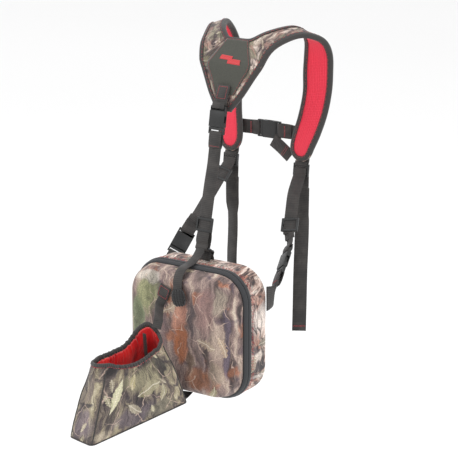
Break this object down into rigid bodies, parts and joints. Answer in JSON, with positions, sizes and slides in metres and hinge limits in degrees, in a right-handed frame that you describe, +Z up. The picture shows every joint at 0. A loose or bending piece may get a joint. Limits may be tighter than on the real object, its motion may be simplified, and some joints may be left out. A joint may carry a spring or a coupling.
{
  "type": "harness pack",
  "caption": "Moulded zipped pack on a padded four-point shoulder harness, with side-release buckles, adjusters and a tapered boot pocket hanging in front of its lid.",
  "frame": {"origin": "centre of the pack's rear face, which lies against the wearer", "axes": "+Z up, +Y out of the pack's rear face towards the wearer, the zipped lid faces -Y, +X to the right seen from the lid side"},
  "size_m": [0.253, 0.5194, 0.6409],
  "materials": {
    "camo_fabric": "printed woven polyester",
    "red_mesh": "air mesh",
    "red_satin": "satin lining",
    "webbing": "woven webbing",
    "plastic": "fine moulded texture",
    "metal": "black coated",
    "zipper": "zipper tape and coil",
    "patch": "woven patch",
    "dark_lining": "knitted lining"
  },
  "bodies": {
    "harness": {"centre_strap": "webbing", "chest_buckle_male": "plastic", "chest_strap_left": "webbing", "chest_strap_right": "webbing", "haul_tab": "webbing", "ladder_lock_left": "plastic", "ladder_lock_right": "plastic", "lid_hinge": "webbing", "pack_back_panel": "dark_lining", "pack_rear_lining": "dark_lining", "pack_rear_shell": "camo_fabric", "pack_ring": "metal", "pad_mesh_left": "red_mesh", "pad_mesh_right": "red_mesh", "pad_shell_left": "camo_fabric", "pad_shell_right": "camo_fabric", "pad_tab_left": "webbing", "pad_tab_right": "webbing", "side_buckle_female_left": "plastic", "side_buckle_female_right": "plastic", "side_strap_left": "webbing", "side_strap_right": "webbing", "wing_tab_left": "webbing", "wing_tab_right": "webbing", "yoke_buckle_female": "plastic", "yoke_mesh": "red_mesh", "yoke_patch": "patch", "yoke_shell": "camo_fabric", "yoke_tab": "webbing", "zipper_rear": "zipper"},
    "lid": {"zipper_lid": "zipper", "lid_shell": "camo_fabric", "lid_lining": "dark_lining", "lid_strap": "webbing", "strap_keeper": "webbing", "strap_roll": "webbing", "boot_hanger": "webbing", "boot_anchor": "webbing"},
    "boot": {"boot_shell": "camo_fabric", "boot_lining": "red_satin", "boot_binding": "webbing", "boot_base": "camo_fabric", "boot_piping": "webbing"},
    "upper_slider": {"zip_slider_upper": "metal"},
    "upper_pull": {"zip_pull_upper": "plastic"},
    "lower_slider": {"zip_slider_lower": "metal"},
    "lower_pull": {"zip_pull_lower": "plastic"},
    "yoke_plug": {"yoke_buckle_male": "plastic", "yoke_buckle_fold": "webbing"},
    "chest_socket": {"chest_buckle_female": "plastic", "chest_buckle_fold": "webbing"},
    "side_plug_right": {"side_buckle_male_right": "plastic", "side_buckle_fold_right": "webbing"},
    "side_plug_left": {"side_buckle_male_left": "plastic", "side_buckle_fold_left": "webbing"},
    "centre_adjuster": {"centre_glide": "plastic"},
    "side_adjuster_right": {"side_glide_right": "plastic"},
    "side_adjuster_left": {"side_glide_left": "plastic"},
    "tail_right": {"strap_tail_right": "webbing"},
    "tail_left": {"strap_tail_left": "webbing"}
  },
  "joints": [
    {"name": "lid_hinge_turn", "type": "hinge", "parent": "harness", "child": "lid", "pos_m": [0, -0.061, -0.1125], "axis": [1, 0, 0], "range_deg": [0, 95]},
    {"name": "boot_swing", "type": "hinge", "parent": "lid", "child": "boot", "pos_m": [0.003, -0.086, -0.08], "axis": [-0.0183, -0.1832, 0.9829], "range_deg": [-24, 18]},
    {"name": "upper_slider_travel", "type": "slide", "parent": "harness", "child": "upper_slider", "axis": [0, 0, 1], "range_m": [0, 0.03]},
    {"name": "upper_pull_swing", "type": "hinge", "parent": "upper_slider", "child": "upper_pull", "pos_m": [-0.1201, -0.06095, 0.0222], "axis": [0, 1, 0], "range_deg": [0, 112]},
    {"name": "lower_slider_travel", "type": "slide", "parent": "harness", "child": "lower_slider", "axis": [0, 0, -1], "range_m": [0, 0.04]},
    {"name": "lower_pull_swing", "type": "hinge", "parent": "lower_slider", "child": "lower_pull", "pos_m": [-0.1201, -0.06095, -0.0098], "axis": [0, 1, 0], "range_deg": [0, 112]},
    {"name": "yoke_buckle_release", "type": "slide", "parent": "harness", "child": "yoke_plug", "axis": [0, -0.1701, -0.9854], "range_m": [0, 0.02]},
    {"name": "chest_buckle_release", "type": "slide", "parent": "harness", "child": "chest_socket", "axis": [1, 0, 0], "range_m": [0, 0.018]},
    {"name": "side_buckle_release_right", "type": "slide", "parent": "harness", "child": "side_plug_right", "axis": [0.1, -0.6651, -0.7401], "range_m": [0, 0.02]},
    {"name": "side_buckle_release_left", "type": "slide", "parent": "harness", "child": "side_plug_left", "axis": [-0.1, -0.6651, -0.7401], "range_m": [0, 0.02]},
    {"name": "centre_adjuster_slide", "type": "slide", "parent": "harness", "child": "centre_adjuster", "axis": [0, 0.228, 0.9737], "range_m": [0, 0.045]},
    {"name": "side_adjuster_slide_right", "type": "slide", "parent": "harness", "child": "side_adjuster_right", "axis": [-0.1849, 0.4701, 0.863], "range_m": [0, 0.035]},
    {"name": "side_adjuster_slide_left", "type": "slide", "parent": "harness", "child": "side_adjuster_left", "axis": [0.1934, 0.5903, 0.7837], "range_m": [-0.04, 0]},
    {"name": "tail_swing_right", "type": "hinge", "parent": "harness", "child": "tail_right", "pos_m": [0.075, 0.1658, 0.246], "axis": [1, 0, 0], "range_deg": [-10, 30]},
    {"name": "tail_swing_left", "type": "hinge", "parent": "harness", "child": "tail_left", "pos_m": [-0.075, 0.1658, 0.246], "axis": [1, 0, 0], "range_deg": [-10, 30]}
  ]
}
